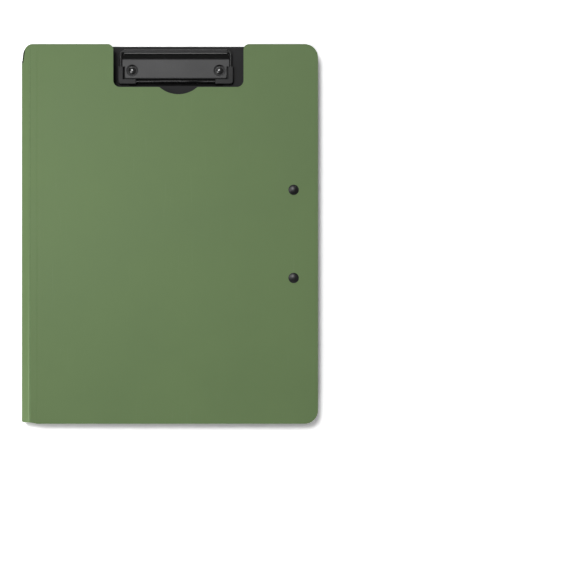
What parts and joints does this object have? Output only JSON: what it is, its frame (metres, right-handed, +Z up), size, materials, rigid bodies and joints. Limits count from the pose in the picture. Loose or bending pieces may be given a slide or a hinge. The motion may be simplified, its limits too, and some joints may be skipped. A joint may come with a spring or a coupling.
{
  "type": "clipboard folder",
  "caption": "Folding clipboard for A4 paper: creased living-hinge spine, front cover cut away for a sprung wire-bail clip on the back board, and another such clip inside the cover.",
  "frame": {"origin": "centre of the closed folder's outline, at the height of the surface that it lies on", "axes": "+Z up out of the front cover, +Y to the clip's edge, +X away from the spine"},
  "size_m": [0.244, 0.312, 0.0145],
  "materials": {
    "cover_outside": "matt",
    "cover_inside": "matt",
    "clip_plate": "satin",
    "bail_wire": "satin",
    "sleeve": "satin",
    "rivet": "gloss"
  },
  "bodies": {
    "back_board": {"back_board_skin": "cover_outside", "back_board_core": "cover_inside", "rear_outer_strip_core": "cover_inside", "rear_strip_hinge": "cover_outside", "top_clip_plate": "clip_plate", "top_clip_rivets": "rivet"},
    "rear_inner_strip": {"rear_inner_strip_skin": "cover_outside", "rear_inner_strip_core": "cover_inside", "rear_spine_hinge": "cover_outside"},
    "spine_strip": {"spine_strip_skin": "cover_outside", "spine_strip_core": "cover_inside", "front_spine_hinge": "cover_outside"},
    "front_inner_strip": {"front_inner_strip_skin": "cover_outside", "front_inner_strip_core": "cover_inside", "front_strip_hinge": "cover_outside"},
    "front_cover": {"front_cover_skin": "cover_outside", "front_cover_core": "cover_inside", "front_outer_strip_core": "cover_inside", "side_clip_plate": "clip_plate", "side_clip_rivets": "rivet"},
    "top_bail": {"top_clip_bail": "bail_wire", "top_clip_left_sleeve": "sleeve", "top_clip_right_sleeve": "sleeve"},
    "side_bail": {"side_clip_bail": "bail_wire", "side_clip_left_sleeve": "sleeve", "side_clip_right_sleeve": "sleeve"}
  },
  "joints": [
    {"name": "rear_strip_crease", "type": "hinge", "parent": "back_board", "child": "rear_inner_strip", "pos_m": [-0.11494, 0, 0.0011], "axis": [0, -1, 0], "range_deg": [0, 22], "deforming": ["rear_strip_hinge"]},
    {"name": "rear_spine_crease", "type": "hinge", "parent": "rear_inner_strip", "child": "spine_strip", "pos_m": [-0.1218, 0, 0.00387], "axis": [0, -1, 0], "range_deg": [0, 68], "deforming": ["rear_spine_hinge"]},
    {"name": "front_spine_crease", "type": "hinge", "parent": "spine_strip", "child": "front_inner_strip", "pos_m": [-0.1218, 0, 0.01067], "axis": [0, -1, 0], "range_deg": [0, 68], "deforming": ["front_spine_hinge"]},
    {"name": "front_strip_crease", "type": "hinge", "parent": "front_inner_strip", "child": "front_cover", "pos_m": [-0.11494, 0, 0.01344], "axis": [0, -1, 0], "range_deg": [0, 22], "deforming": ["front_strip_hinge"]},
    {"name": "top_bail_swing", "type": "hinge", "parent": "back_board", "child": "top_bail", "pos_m": [0.0043, 0.15155, 0.00455], "axis": [-1, 0, 0], "range_deg": [0, 110], "stiffness_Nm_per_rad": 0.02, "springref_deg": -45.84},
    {"name": "side_bail_swing", "type": "hinge", "parent": "front_cover", "child": "side_bail", "pos_m": [0.11755, 0, 0.00999], "axis": [0, -1, 0], "range_deg": [0, 10], "stiffness_Nm_per_rad": 0.02, "springref_deg": -45.84}
  ]
}
